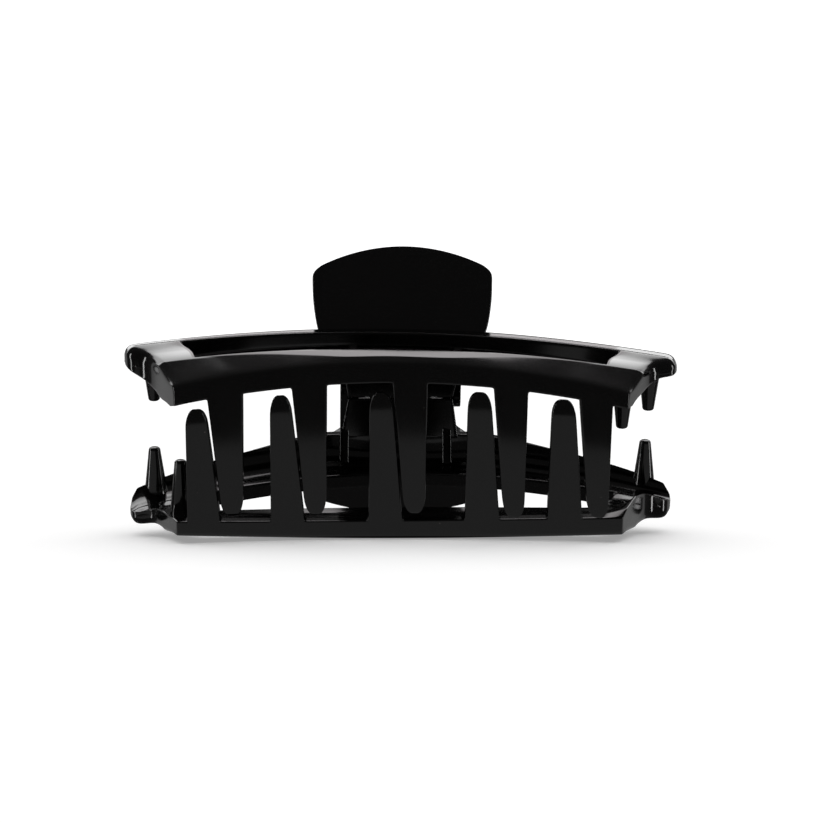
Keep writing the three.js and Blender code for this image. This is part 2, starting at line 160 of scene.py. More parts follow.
# The window, and the wall that turns down behind it.
WINDOW_FRONT, WINDOW_FRONT_OUTER, WINDOW_BACK = 9.0, 7.8, 24.0
WINDOW_FRONT_HALF, WINDOW_BACK_HALF = 31.85, 35.1
WALL_START, WALL_REACH, WALL_INNER_REACH, WALL_ROUND = 26.0, 6.6, 4.4, 0.8
WALL_EDGE = Smooth([(0, 6.2), (12, 6.2), (23, 7.6), (38, 10.2), (44, 11.9)])
WALL_LOWEST, WALL_SHORTEST = 6.2, 0.3


def edge_at(x):
    return FRONT_EDGE - FRONT_EDGE_DROP * x * x


def top_at(x):
    return FRONT_TOP - FRONT_TOP_DROP * x * x - DIP * x


def crest(x, u):
    return CREST(u) - CREST_DROP(u) * x * x - DIP * x


def under(x, u):
    return UNDER(u) - UNDER_DROP(u) * x * x - DIP * x


def place(x, u, z, neck=0.0):
    """Bows the drawing round the head. The share neck straightens its middle."""
    bow, skew = BOW(u), SKEW(u)
    bowed = bow * x * x + skew * x
    beyond = soft_positive(abs(x) - NECK_FLAT, NECK_BLEND)
    straight = bow * soft_positive(x * x - NECK_FLAT**2, NECK_BLEND_SQUARED)
    straight += skew * math.copysign(beyond, x)
    slide = SLIDE * min(1, max(0, u / SLIDE_FULL_U)) * smoothstep(SLIDE_FROM_X, SLIDE_FULL_X, abs(x))
    return Vector((x + slide, u - lerp(bowed, straight, neck), z))


def to_world(p, side):
    """A point of the drawing, in millimetres, as a point of the row frame in metres."""
    x, y, z = p
    if side == "lower":
        x, z = -x, -z
    turned = Matrix.Rotation(TILT, 3, "X") @ Vector((x, y - HINGE_U, z))
    return turned * MM + PIN_CENTRE


# ---------------------------------------------------------------- mesh helpers
def sheet(outer, inner, present, hold):
    """A closed sheet between two grids of points. Cells that aren't present are holes.

    The faces along its edges have a line at the share hold from each side, which keeps their
    corners tight when the sheet is smoothed.
    """
    bm = bmesh.new()
    rows, cols = len(outer), len(outer[0])
    across = (0.0, hold, 1 - hold, 1.0)
    made = {}

    def corner(share, r, c):
        key = (share, r, c)
        if key not in made:
            made[key] = bm.verts.new(Vector(outer[r][c]).lerp(Vector(inner[r][c]), share))
        return made[key]

    def has(r, c):
        return 0 <= r < rows - 1 and 0 <= c < cols - 1 and present(r, c)

    for r in range(rows - 1):
        for c in range(cols - 1):
            if not has(r, c):
                continue
            cell = [(r, c), (r, c + 1), (r + 1, c + 1), (r + 1, c)]
            bm.faces.new([corner(0.0, *p) for p in cell])
            bm.faces.new([corner(1.0, *p) for p in reversed(cell)])
            sides = [(r - 1, c, 0, 1), (r, c + 1, 1, 2), (r + 1, c, 2, 3), (r, c - 1, 3, 0)]
            for rr, cc, a, b in sides:
                if has(rr, cc):
                    continue
                for s, t in zip(across, across[1:]):
                    near, far = cell[a], cell[b]
                    bm.faces.new([corner(s, *far), corner(s, *near), corner(t, *near), corner(t, *far)])
    return bm


def revolve(profile, axis_at, segments=40):
    """A closed solid turned about a line along z. The profile runs in (radius, z), tip to base."""
    bm = bmesh.new()
    rings = []
    for radius, z in profile:
        if radius < 1e-6:
            rings.append([bm.verts.new((axis_at[0], axis_at[1], z))])
            continue
        ring = []
        for k in range(segments):
            a = 2 * math.pi * k / segments
            at = (axis_at[0] + radius * math.cos(a), axis_at[1] + radius * math.sin(a), z)
            ring.append(bm.verts.new(at))
        rings.append(ring)
    for low, high in zip(rings, rings[1:]):
        for k in range(segments):
            a, b = k, (k + 1) % segments
            if len(low) == 1:
                bm.faces.new([low[0], high[a], high[b]][::-1])
            elif len(high) == 1:
                bm.faces.new([low[a], low[b], high[0]])
            else:
                bm.faces.new([low[a], low[b], high[b], high[a]])
    return bm


def turned_on_hinge(profile):
    """A solid turned about the hinge's axis. The profile runs in (radius, x)."""
    bm = revolve(profile, (0, 0), segments=48)
    for v in bm.verts:
        v.co = Vector((v.co.z, HINGE_U + v.co.x, v.co.y))
    return bm


def prism(outline, low, high):
    """An outline of (u, z) points, swept from low to high along x."""
    bm = bmesh.new()
    ends = [[bm.verts.new((x, u, z)) for u, z in outline] for x in (low, high)]
    bm.faces.new(ends[0])
    bm.faces.new(ends[1][::-1])
    for k in range(len(outline)):
        j = (k + 1) % len(outline)
        bm.faces.new([ends[0][k], ends[1][k], ends[1][j], ends[0][j]])
    return bm


def tube(path, radius, sides, reach=None):
    """A closed tube along a path of points. reach(k) scales the radius at point k."""
    bm = bmesh.new()
    rings = []
    side = Vector((1, 0, 0))
    for k, point in enumerate(path):
        along = (path[min(k + 1, len(path) - 1)] - path[max(k - 1, 0)]).normalized()
        side = (side - along * side.dot(along)).normalized()
        up = along.cross(side)
        r = radius * (reach(k) if reach else 1)
        turn = [2 * math.pi * j / sides for j in range(sides)]
        rings.append([bm.verts.new(point + (side * math.cos(a) + up * math.sin(a)) * r) for a in turn])
    for low, high in zip(rings, rings[1:]):
        for j in range(sides):
            bm.faces.new([low[j], low[(j + 1) % sides], high[(j + 1) % sides], high[j]])
    bm.faces.new(rings[0][::-1])
    bm.faces.new(rings[-1])
    return bm


def modified(bm, kind, **settings):
    """A drawing with one modifier applied. It uses the drawing up."""
    bmesh.ops.recalc_face_normals(bm, faces=bm.faces)
    mesh = bpy.data.meshes.new("drawing")
    bm.to_mesh(mesh)
    bm.free()
    obj = bpy.data.objects.new("drawing", mesh)
    bpy.context.scene.collection.objects.link(obj)
    modifier = obj.modifiers.new("shape", kind)
    for key, value in settings.items():
        setattr(modifier, key, value)
    shape = bpy.data.meshes.new_from_object(obj.evaluated_get(bpy.context.evaluated_depsgraph_get()))
    out = bmesh.new()
    out.from_mesh(shape)
    bpy.data.objects.remove(obj)
    return out


def bevelled(bm, width):
    """Rounds every sharp edge of a drawing."""
    return modified(bm, "BEVEL", width=width, segments=3, limit_method="ANGLE",
                    angle_limit=math.radians(38))


def smoothed(bm, levels=2):
    return modified(bm, "SUBSURF", levels=levels, render_levels=levels)


def bored(bm, radius, low, high):
    """Cuts the hinge's hole through a drawing."""
    cutter_mesh = bpy.data.meshes.new("bore")
    bore = turned_on_hinge([(0.0, low), (radius, low), (radius, high), (0.0, high)])
    bmesh.ops.recalc_face_normals(bore, faces=bore.faces)
    bore.to_mesh(cutter_mesh)
    bore.free()
    cutter = bpy.data.objects.new("bore", cutter_mesh)
    bpy.context.scene.collection.objects.link(cutter)
    out = modified(bm, "BOOLEAN", operation="DIFFERENCE", solver="EXACT", object=cutter)
    bpy.data.objects.remove(cutter)
    return out


def joined(name, drawings, side, body):
    """One object from several drawings, placed in the row frame and riding on any body given."""
    whole = bmesh.new()
    for bm in drawings:
        bmesh.ops.recalc_face_normals(bm, faces=bm.faces)
        mesh = bpy.data.meshes.new("part")
        bm.to_mesh(mesh)
        bm.free()
        whole.from_mesh(mesh)
        bpy.data.meshes.remove(mesh)
    for v in whole.verts:
        v.co = to_world(v.co, side)
    for face in whole.faces:
        face.smooth = True
    mesh = bpy.data.meshes.new(name)
    whole.to_mesh(mesh)
    whole.free()
    obj = bpy.data.objects.new(name, mesh)
    bpy.context.scene.collection.objects.link(obj)
    shading = obj.modifiers.new("even_shading", "WEIGHTED_NORMAL")
    shading.keep_sharp = True
    if body:
        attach(obj, body)
    return obj


# ---------------------------------------------------------------- frame, teeth and back wall
# The frame is drawn on a grid, whose columns cross every row. Its structural columns are numbered
# from 0 at one end of the clip. A tooth takes two cells and the gap after it two more.
TOOTH_START, TOOTH_PITCH, TOOTH_END, LAST_COLUMN = 2, 4, 20, 22


def frame_columns():
    """Fine columns, as a structural column and a share of the way to the next one."""
    columns = [(0, t) for t in (0.0, 0.25, 0.6)] + [(1, t) for t in (0.0, 0.35, 0.7, 0.9)]
    for tooth in range(TEETH):
        c = TOOTH_START + TOOTH_PITCH * tooth
        columns += [(c, t) for t in (0.0, 0.16, 0.5)] + [(c + 1, t) for t in (0.0, 0.5, 0.84)]
        if tooth < TEETH - 1:
            columns += [(c + 2, t) for t in (0.0, 0.12, 0.5)] + [(c + 3, t) for t in (0.0, 0.5, 0.88)]
    columns += [(TOOTH_END, t) for t in (0.0, 0.1, 0.3, 0.65)]
    columns += [(TOOTH_END + 1, t) for t in (0.0, 0.4, 0.75)]
    return columns + [(LAST_COLUMN, 0.0)]


COLUMNS = frame_columns()


def structural_front(side):
    """The x of the structural columns where the comb meets the front bar."""
    end = HALF_WIDTH(0)
    teeth = [(right - width, right) for right, width in zip(UPRIGHT_SIDES[side], ROOT_WIDTHS)]
    xs = [-end, lerp(-end, teeth[0][0], 0.4)]
    for k, (left, right) in enumerate(teeth):
        if k:
            xs.append(lerp(teeth[k - 1][1], left, 0.5))
        xs += [left, lerp(left, right, 0.5), right]
    return xs + [lerp(teeth[-1][1], end, 0.5), end]


def structural_frame(u):
    """The x of the same columns across the window, at the distance u from the teeth."""
    end = HALF_WIDTH(u)
    along = min(1.0, max(0.0, (u - WINDOW_FRONT) / (WINDOW_BACK - WINDOW_FRONT)))
    half = lerp(WINDOW_FRONT_HALF, WINDOW_BACK_HALF, along)
    cells = TOOTH_END - TOOTH_START
    window = [lerp(-half, half, k / cells) for k in range(cells + 1)]
    return [-end, -end + RIM_WIDTH] + window + [end - RIM_WIDTH, end]


def spread(structural):
    """The x of every fine column."""
    return [lerp(structural[c], structural[min(c + 1, LAST_COLUMN)], t) for c, t in COLUMNS]


def end_column(c, x, u):
    """Keeps the outermost columns at their distance from the clip's end."""
    at, t = COLUMNS[c]
    if at == 0:
        return -HALF_WIDTH(u) + RIM_WIDTH * t
    if at == LAST_COLUMN:
        return HALF_WIDTH(u)
    if at == LAST_COLUMN - 1:
        return HALF_WIDTH(u) - RIM_WIDTH * (1 - t)
    return x


def rim_drop(x, u):
    """How far the outer face falls away at the clip's ends."""
    inside = min(1.0, max(0.0, (HALF_WIDTH(u) - abs(x)) / RIM_WIDTH))
    return RIM_CHAMFER(u) * (1 - math.sqrt(1 - (1 - inside) ** 2))


def shoulder(x):
    """Where the front bar turns from its flat top to its sloping brow, wandering a little."""
    return SHOULDER(abs(x)) + SHOULDER_WANDER * noise.noise(Vector((x * SHOULDER_WAVES, 4.0, 1.0)))


def outer_z(x, u):
    """The height of the outer face of the frame behind the brow of the front bar."""
    back = shoulder(x)
    if u >= back:
        z = crest(x, u)
    else:
        s = (u - BROW) / (back - BROW)
        z = lerp(top_at(x) - BROW_SOFTNESS, crest(x, back), s) + BROW_SOFTNESS * s * (1 - s)
    return z - rim_drop(x, u) - INSET


def inner_z(x, u):
    """The height of the inner face of the frame, from the window back to the wall."""
    extra = RIM_EXTRA * smoothstep(RIM_EXTRA_FROM_X, RIM_EXTRA_FULL_X, abs(x))
    extra *= max(0.0, 1 - u / RIM_FADE)
    return under(x, u) - extra - skirt(x, u) + rim_thinning(x, u) * (u / WALL_START) ** 2


def skirt(x, u):
    """How far the rim hangs below the plate at the end with one peg."""
    return SKIRT(u) * smoothstep(-SKIRT_WIDTH, 0.0, -x - HALF_WIDTH(u)) if x < 0 else 0.0


def rim_thinning(x, u):
    """How much thinner the rim is at the end with two pegs."""
    return END_THINNING * (1 - smoothstep(0.0, RIM_WIDTH, HALF_WIDTH(u) - x)) if x > 0 else 0.0


def wall_at(x, t):
    """The back wall's outer and inner (u, z), with t from the plate to its free edge."""
    top = crest(x, WALL_START)
    edge = min(top - WALL_SHORTEST, WALL_EDGE(abs(x)))
    share = max(0.0, (edge - WALL_LOWEST) / (top - WALL_LOWEST))
    turn = math.acos(share ** (1 / WALL_ROUND)) * t
    along, down = math.sin(turn) ** WALL_ROUND, math.cos(turn) ** WALL_ROUND
    ceiling = under(x, WALL_START)
    outer = (WALL_START + WALL_REACH * along, WALL_LOWEST + (top - WALL_LOWEST) * down)
    inner = (WALL_START + WALL_INNER_REACH * along, WALL_LOWEST + (ceiling - WALL_LOWEST) * down)
    return outer, inner


# The rows of the grid: shares of a tooth from tip to root, the u of the bar's inner face, the u of
# the plate, and shares of the back wall from the plate to its free edge.
TOOTH_ROWS = [TIP_SHARE * (1 - math.sin(math.radians(a))) for a in (90, 62, 38, 18)]
TOOTH_ROWS += [0.14, 0.24, 0.36, 0.5, 0.64, 0.78, 0.9, 0.968]
BAR_ROWS = [2.2, 2.6, 3.2, 3.7, 4.2, 4.7, 5.2, 5.8, 6.4, 7.0, 7.7, 8.5]
PLATE_ROWS = [9.0, 9.4, 10.4, 12.0, 14.0, 16.0, 18.0, 20.0, 21.8, 23.2, 23.6, 24.0, 24.4, 25.2]
WALL_ROWS = [0.0, 0.08, 0.16, 0.24, 0.33, 0.42, 0.52, 0.62, 0.72, 0.82, 0.9, 0.96, 1.0]


def is_tooth(c):
    """Whether the cell after a structural column belongs to a tooth, and not to a gap."""
    return TOOTH_START <= c < TOOTH_END and (c - TOOTH_START) % TOOTH_PITCH < 2


def tooth_point(side, k, part, f):
    """The outer and inner point of tooth k, at the share part across it and f from tip to root."""
    width = ROOT_WIDTHS[k] - (TAPERS[side][k] + DRAFT) * (1 - f)
    bend = max(0.0, TIP_SHARE - f) / TIP_SHARE
    full = math.sqrt(max(0.0, 1 - bend * bend))
    middle = UPRIGHT_SIDES[side][k] - DRAFT * (1 - f) - width / 2
    x = middle + (part - 0.5) * width * (TIP_WIDTH + (1 - TIP_WIDTH) * full)
    z = lerp(-LENGTHS[k], edge_at(x), f)
    face = -LEAN * (1 - f) ** 1.5
    depth = lerp(TIP_DEPTH, ROOT_DEPTH, f)
    outer = place(x, face + TIP_SETBACK_FRONT * (1 - full), z)
    inner = place(x, face + depth - TIP_SETBACK_BACK * (1 - full), z)
    return outer, inner


def bar_outer(x):
    """The outer face of the front bar as (u, z), from the comb to the window."""
    back, top, edge = shoulder(x), top_at(x), edge_at(x)
    # the flat front, and the rounded edge above it
    points = [(0.0, edge), (0.0, edge + 0.4), (0.0, lerp(edge, top, 0.5)), (0.04, top - 1.15)]
    points += [(0.26, top - 0.55), (0.7, top - 0.22)]
    # the slope from the brow up to the shoulder, and the start of the plate behind it
    points += [(u, outer_z(x, u)) for u in (lerp(BROW, back, s) for s in (0.2, 0.6, 0.88, 1.0))]
    behind = back + 0.3
    points += [(u, outer_z(x, u)) for u in (behind, lerp(behind, 7.5, 0.55))]
    return points


def bar_inner(x, u):
    """The height of the front bar's inner face, from the comb's back to the window."""
    edge = edge_at(x)
    rim = skirt(x, u)
    plate = inner_z(x, WINDOW_FRONT) + rim
    rise = [(ROOT_DEPTH, edge + 0.15), (4.2, edge + 0.6), (6.8, edge + 1.0), (WINDOW_FRONT, plate)]
    return Smooth(rise)(u) - rim


def frame_grids(side):
    """The outer and the inner points of the comb, front bar, plate and back wall."""
    outer, inner = [], []
    for f in TOOTH_ROWS:
        pairs = []
        for c, t in COLUMNS:
            k = min(TEETH - 1, max(0, (c - TOOTH_START) // TOOTH_PITCH))
            part = min(1.0, max(0.0, (c - TOOTH_START - TOOTH_PITCH * k + t) / 2))
            pairs.append(tooth_point(side, k, part, f))
        outer.append([p[0] for p in pairs])
        inner.append([p[1] for p in pairs])

    front = spread(structural_front(side))
    window = spread(structural_frame(WINDOW_FRONT))
    for row, ui in enumerate(BAR_ROWS):
        a, b = [], []
        for c, (x0, x9) in enumerate(zip(front, window)):
            uo = bar_outer(x0)[row][0]
            x = end_column(c, lerp(x0, x9, uo / WINDOW_FRONT_OUTER), uo)
            a.append(place(x, uo, bar_outer(x)[row][1]))
            x = end_column(c, lerp(x0, x9, (ui - ROOT_DEPTH) / (WINDOW_FRONT - ROOT_DEPTH)), ui)
            b.append(place(x, ui, bar_inner(x, ui)))
        outer.append(a)
        inner.append(b)

    ahead = WINDOW_FRONT - WINDOW_FRONT_OUTER
    for u in PLATE_ROWS:
        uo = u - ahead * (1 - smoothstep(WINDOW_FRONT, 15, u))
        xs = spread(structural_frame(u))
        outer_xs = [end_column(c, x, uo) for c, x in enumerate(xs)]
        inner_xs = [end_column(c, x, u) for c, x in enumerate(xs)]
        outer.append([place(x, uo, outer_z(x, uo)) for x in outer_xs])
        inner.append([place(x, u, inner_z(x, u)) for x in inner_xs])

    for t in WALL_ROWS:
        a, b = [], []
        for c, x in enumerate(spread(structural_frame(WALL_START))):
            u = WALL_START
            for _ in range(4):
                (u, z), (ui, zi) = wall_at(x, t)
                x = end_column(c, x, u)
            a.append(place(x, u, z - rim_drop(x, u) * (1 - t), t))
            b.append(place(x, ui, zi + rim_thinning(x, u) * (1 - t), t))
        outer.append(a)
        inner.append(b)
    return outer, inner


def frame_sheet(outer, inner):
    """The frame as one closed sheet, open at the window and between the teeth."""
    window_row = len(TOOTH_ROWS) + len(BAR_ROWS)
    window_rows = range(window_row, window_row + PLATE_ROWS.index(WINDOW_BACK))

    def present(r, c):
        at = COLUMNS[c][0]
        if r < len(TOOTH_ROWS):
            return is_tooth(at)
        return not (r in window_rows and TOOTH_START <= at < TOOTH_END)

    return sheet(outer, inner, present, hold=0.18)


# ---------------------------------------------------------------- paddle, web, lugs and pegs
PADDLE_BEND = [Vector((32.0, 3.4)), Vector((33.9, 7.6)), Vector((36.2, 12.6))]
PADDLE_TIP = Vector((42.8, 24.0))
PADDLE_THICKNESS = 2.2
PADDLE_HALF = Smooth([(0, 9.2), (2.5, 9.5), (5.5, 12.5), (9, 14.65), (16, 15.45), (24, 15.6)])
PADDLE_TIP_RADIUS = 29.5
PADDLE_LATERAL, PADDLE_LATERAL_RUN = 0.33, 9.0
PADDLE_CORNER, PADDLE_CORNER_SHARE = 1.7, 0.1
WEB_HEIGHT, WEB_FACE, WEB_BACK = 6.9, 30.1, 32.8
WEB_DISH, WEB_LEAN, WEB_SHIFT = 0.4, 0.16, 0.25
WEB_ROOT_HALF, WEB_TOP_HALF = 8.95, 10.15
LUG_RADIUS, LUG_BORE, LUG_BEVEL = 2.7, 1.04, 0.2
LUG_SPANS = [(8.9, 10.4), (-8.7, -7.2)]
PEG_ROOT, PEG_ROUND, PEG_FLARE, PEG_FLARE_START = 0.8, 0.45, 0.35, 0.8
PEG_TIP_RADIUS, PEG_BASE_RADIUS = 0.95, 1.98
# Where each peg stands, in x and y, then the u of the plate above it and the z of its tip.
PEGS = [(34.8, 4.7, 14.0, 2.65), (40.0, 13.2, 29.5, 3.15), (-40.4, 18.0, 30.5, 3.4)]
BEAD_RADIUS, BEAD_INSET, BEAD_HEIGHT, BEAD_GRAIN, BEAD_TAPER = 0.16, 0.3, 0.45, 0.9, 5
# The column and the roughness of each line of flash.
BEADS = [(-1, 0.5), (0, 1.6)]
MARK_RADIUS, MARK_LINE, MARK_RISE, MARK_STEPS = 1.4, 0.13, 0.03, 40
EJECTOR_MARKS = [(-34.8, 12.9), (37.6, 21.0)]


def paddle_line(s):
    """The paddle's middle line as (u, z), and its direction, at the distance s along it."""
    p, q, r = PADDLE_BEND
    bend = (r - p).length
    if s >= bend:
        along = (PADDLE_TIP - r).normalized()
        return r + along * (s - bend), along
    t = s / bend
    at = p.lerp(q, t).lerp(q.lerp(r, t), t)
    return at, (q - p).lerp(r - q, t).normalized()


def paddle_sheet():
    """The paddle, with a crowned tip and rounded tip corners."""
    p, _, r = PADDLE_BEND
    length = (r - p).length + (PADDLE_TIP - r).length
    half = PADDLE_THICKNESS / 2
    shares = [0.0, 0.04, 0.08, 0.12, 0.16, 0.2, 0.25, 0.3, 0.36, 0.43, 0.5, 0.58, 0.66, 0.74, 0.82, 0.89]
    shares += [0.93, 0.96, 0.98, 1.0]
    across = [0.0, 0.2, 0.42, 0.64, 0.83, 0.965, 1.0]
    across = [-c for c in reversed(across[1:])] + across
    outer, inner = [], []
    for share in shares:
        a, b = [], []
        into_corner = max(0.0, (share - 1 + PADDLE_CORNER_SHARE) / PADDLE_CORNER_SHARE)
        corner = PADDLE_CORNER * (1 - math.sqrt(max(0.0, 1 - into_corner**2)))
        for c in across:
            x = c * (PADDLE_HALF(share * length) - corner)
            sag = PADDLE_TIP_RADIUS - math.sqrt(PADDLE_TIP_RADIUS**2 - x * x)
            at, along = paddle_line(share * (length - sag * share * share))
            x += PADDLE_LATERAL * min(1.0, share * length / PADDLE_LATERAL_RUN)
            a.append((x, at.x - along.y * half, at.y + along.x * half))
            b.append((x, at.x + along.y * half, at.y - along.x * half))
        outer.append(a)
        inner.append(b)
    return sheet(outer, inner, lambda r, c: True, hold=0.24)


def web():
    """The neck between the back wall and the lugs, with a dished and leaning face."""
    across = [-1.0, -0.94, -0.8, -0.5, -0.17, 0.17, 0.5, 0.8, 0.94, 1.0]
    outer, inner = [], []
    for z in (0.15, 0.4, 1.6, 3.3, 5.0, 6.5, WEB_HEIGHT):
        half = lerp(WEB_ROOT_HALF, WEB_TOP_HALF, z / WEB_HEIGHT)
        middle = WEB_SHIFT * z / WEB_HEIGHT
        face = [WEB_FACE + WEB_DISH * (1 - c * c) + WEB_LEAN * (WEB_HEIGHT - z) for c in across]
        outer.append([(middle + c * half, u, z) for c, u in zip(across, face)])
        inner.append([(middle + c * half, WEB_BACK, z) for c in across])
    return smoothed(sheet(outer, inner, lambda r, c: True, hold=0.2), levels=1)


def lug(low, high):
    """A bored hinge lug between two x positions, which grows out of the back wall."""
    arc = [math.radians(182 + 190 * k / 28) for k in range(29)]
    outline = [(27.6, 10.6)]
    outline += [(HINGE_U + LUG_RADIUS * math.cos(a), LUG_RADIUS * math.sin(a)) for a in arc]
    outline += [(36.0, 8.2), (35.2, 8.4), (34.1, 6.0), (32.0, 6.3), (31.3, 8.5), (29.4, 10.4)]
    return bored(prism(outline, low, high), LUG_BORE, low - 1, high + 1)


def peg(x, y, u, tip):
    """A tapered locating peg with a rounded tip, which flares where it joins the plate.

    The peg stands at (x, y), on the plate at u, and its tip is at z = tip.
    """
    top = under(x, u) + PEG_ROOT
    height = top - tip
    profile = [(0.0, tip)]
    for angle in (20, 40, 60, 78, 90):
        a = math.radians(angle)
        radius = PEG_TIP_RADIUS + PEG_ROUND * (math.sin(a) - 1)
        profile.append((radius, tip + PEG_ROUND * (1 - math.cos(a))))
    for t in (0.1, 0.25, 0.4, 0.55, 0.7, 0.8, 0.87, 0.93, 0.97, 1.0):
        flare = PEG_FLARE * max(0.0, (t - PEG_FLARE_START) / 0.2) ** 2
        radius = lerp(PEG_TIP_RADIUS, PEG_BASE_RADIUS, t) + flare
        profile.append((radius, tip + lerp(PEG_ROUND, height, t)))
    profile.append((0.0, top))
    return revolve(profile, (x, y))


def parting_bead(outer, inner, column, roughness):
    """The line of flash left along the mould's parting line, at one end of a jaw."""
    inward = Vector((BEAD_INSET if column == 0 else -BEAD_INSET, 0, 0))
    rows = range(len(TOOTH_ROWS) + 3, len(outer) - 3)
    rim = [outer[r][column].lerp(inner[r][column], BEAD_HEIGHT) + inward for r in rows]
    path = []
    for a, b in zip(rim, rim[1:]):
        path += [a.lerp(b, k / 4) for k in range(4)]
    rough = [1 + roughness * noise.noise(point * BEAD_GRAIN) for point in path]
    last = len(path) - 1

    def reach(k):
        return rough[k] * min(1, 0.3 + k / BEAD_TAPER, 0.3 + (last - k) / BEAD_TAPER)

    return tube(path, BEAD_RADIUS, sides=6, reach=reach)


def ejector_mark(x, u):
    """The shallow ring an ejector pin leaves on the inner face."""
    centre = place(x, u, inner_z(x, u))
    path = []
    for k in range(MARK_STEPS + 1):
        a = 2 * math.pi * k / MARK_STEPS
        offset = Vector((MARK_RADIUS * math.cos(a), MARK_RADIUS * math.sin(a), MARK_RISE))
        path.append(centre + offset)
    return tube(path, MARK_LINE, sides=6)


def jaw(side):
    """One moulding. The two jaws differ only in where their teeth stand."""
    outer, inner = frame_grids(side)
    drawings = [smoothed(frame_sheet(outer, inner)), smoothed(paddle_sheet()), web()]
    drawings += [bevelled(lug(*span), LUG_BEVEL) for span in LUG_SPANS]
    drawings += [peg(*p) for p in PEGS]
    drawings += [parting_bead(outer, inner, column, roughness) for column, roughness in BEADS]
    drawings += [ejector_mark(x, u) for x, u in EJECTOR_MARKS]
    shell = joined(f"{side}_jaw_moulding", drawings, side, side)
    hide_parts(f"{side}_jaw")
    return shell


# ---------------------------------------------------------------- pin and spring
def hinge_pin():
    """A turned steel pin with broken edges, drawn along x through the hinge."""
    half, radius = 10.4, 0.95
    end = [(0.0, 0.0), (0.62, 0.0), (0.8, 0.05), (0.9, 0.14), (radius, 0.3)]
    profile = [(r, -half + x) for r, x in end]
    profile += [(radius, x) for x in (-8, -4, 0, 4, 8)]
    profile += [(r, half - x) for r, x in reversed(end)]
    obj = joined("hinge_pin_steel", [turned_on_hinge(profile)], "upper", "lower")
    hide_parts("hinge_pin")
    return obj


def spring():
    """One wire: a close coil round the pin with a straight leg against each paddle."""
    wire, coil, half, turns = 0.5, 2.0, 4.88, 8
    leg, leg_length, leg_steps = math.radians(74), 9.55, 14
    start = math.radians(270) - leg
    sweep = math.radians(360 * turns + 180) - 2 * leg
    path = []
    steps = 40 * turns

    def on_coil(t):
        angle = start - sweep * t
        return Vector((lerp(-half, half, t), HINGE_U + coil * math.cos(angle), coil * math.sin(angle)))

    low_leg = Vector((0, math.cos(leg), -math.sin(leg)))
    high_leg = Vector((0, math.cos(leg), math.sin(leg)))
    for k in range(leg_steps, 0, -1):
        path.append(on_coil(0) + low_leg * leg_length * k / leg_steps)
    path += [on_coil(k / steps) for k in range(steps + 1)]
    for k in range(1, leg_steps + 1):
        path.append(on_coil(1) + high_leg * leg_length * k / leg_steps)
    bm = tube(path, wire, sides=14, reach=lambda k: 0.9 if k in (0, len(path) - 1) else 1.0)
    obj = joined("torsion_spring_wire", [bm], "upper", None)
    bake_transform(obj)
    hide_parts("torsion_spring")
    return obj


# ---------------------------------------------------------------- materials
class Nodes:
    """A short way to write a node tree."""

    def __init__(self, tree):
        self.tree = tree

    def add(self, kind, inputs=None, **settings):
        node = self.tree.nodes.new(kind)
        for key, value in settings.items():
            setattr(node, key, value)
        for key, value in (inputs or {}).items():
            if isinstance(value, bpy.types.NodeSocket):
                self.tree.links.new(value, node.inputs[key])
            else:
                node.inputs[key].default_value = value
        return node

    def ramp(self, source, stops):
        node = self.add("ShaderNodeValToRGB", {"Fac": source})
        ramp = node.color_ramp
        while len(ramp.elements) < len(stops):
            ramp.elements.new(0.5)
        for element, (at, value) in zip(ramp.elements, stops):
            element.position = at
            element.color = (*value, 1) if isinstance(value, tuple) else (value, value, value, 1)
        return node.outputs["Color"]


def new_material(name):
    material = bpy.data.materials.new(name)
    material.use_nodes = True
    nodes = Nodes(material.node_tree)
    return material, nodes, material.node_tree.nodes["Principled BSDF"]


def black_plastic():
    """Glossy black plastic, a little uneven, with rare tiny grey specks painted in as glints."""
    material, n, shader = new_material("black_gloss_plastic")
    where = n.add("ShaderNodeTexCoord").outputs["Object"]
    broad = n.add("ShaderNodeTexNoise", {"Vector": where, "Scale": 90.0, "Detail": 3.0}).outputs["Fac"]
    fine = n.add("ShaderNodeTexNoise", {"Vector": where, "Scale": 2600.0, "Detail": 2.0}).outputs["Fac"]
    # rare tiny grey specks mixed into the base colour are painted glints
    cells = n.add("ShaderNodeTexVoronoi", {"Vector": where, "Scale": 420.0, "Randomness": 1.0})
    near = n.ramp(cells.outputs["Distance"], [(0.0, 1.0), (0.05, 0.0)])
    rare = n.ramp(cells.outputs["Color"], [(0.72, 0.0), (0.76, 1.0)])
    painted_glint = n.add("ShaderNodeMath", {0: near, 1: rare}, operation="MULTIPLY").outputs[0]
    tone = n.ramp(broad, [(0.3, (0.0007, 0.0007, 0.0007)), (0.7, (0.0013, 0.0012, 0.0012))])
    glint_mix = {"Factor": painted_glint, "A": tone, "B": (0.09, 0.08, 0.07, 1)}
    mixed = n.add("ShaderNodeMix", glint_mix, data_type="RGBA")
    n.tree.links.new(mixed.outputs["Result"], shader.inputs["Base Color"])
    gloss = n.ramp(broad, [(0.3, 0.09), (0.7, 0.15)])
    n.tree.links.new(gloss, shader.inputs["Roughness"])
    bump = n.add("ShaderNodeBump", {"Height": fine, "Strength": 0.02, "Distance": 0.00002})
    wave = n.add("ShaderNodeBump", {"Height": broad, "Strength": 0.1, "Distance": 0.0002,
                                    "Normal": bump.outputs["Normal"]})
    n.tree.links.new(wave.outputs["Normal"], shader.inputs["Normal"])
    shader.inputs["IOR"].default_value = 1.5
    return material


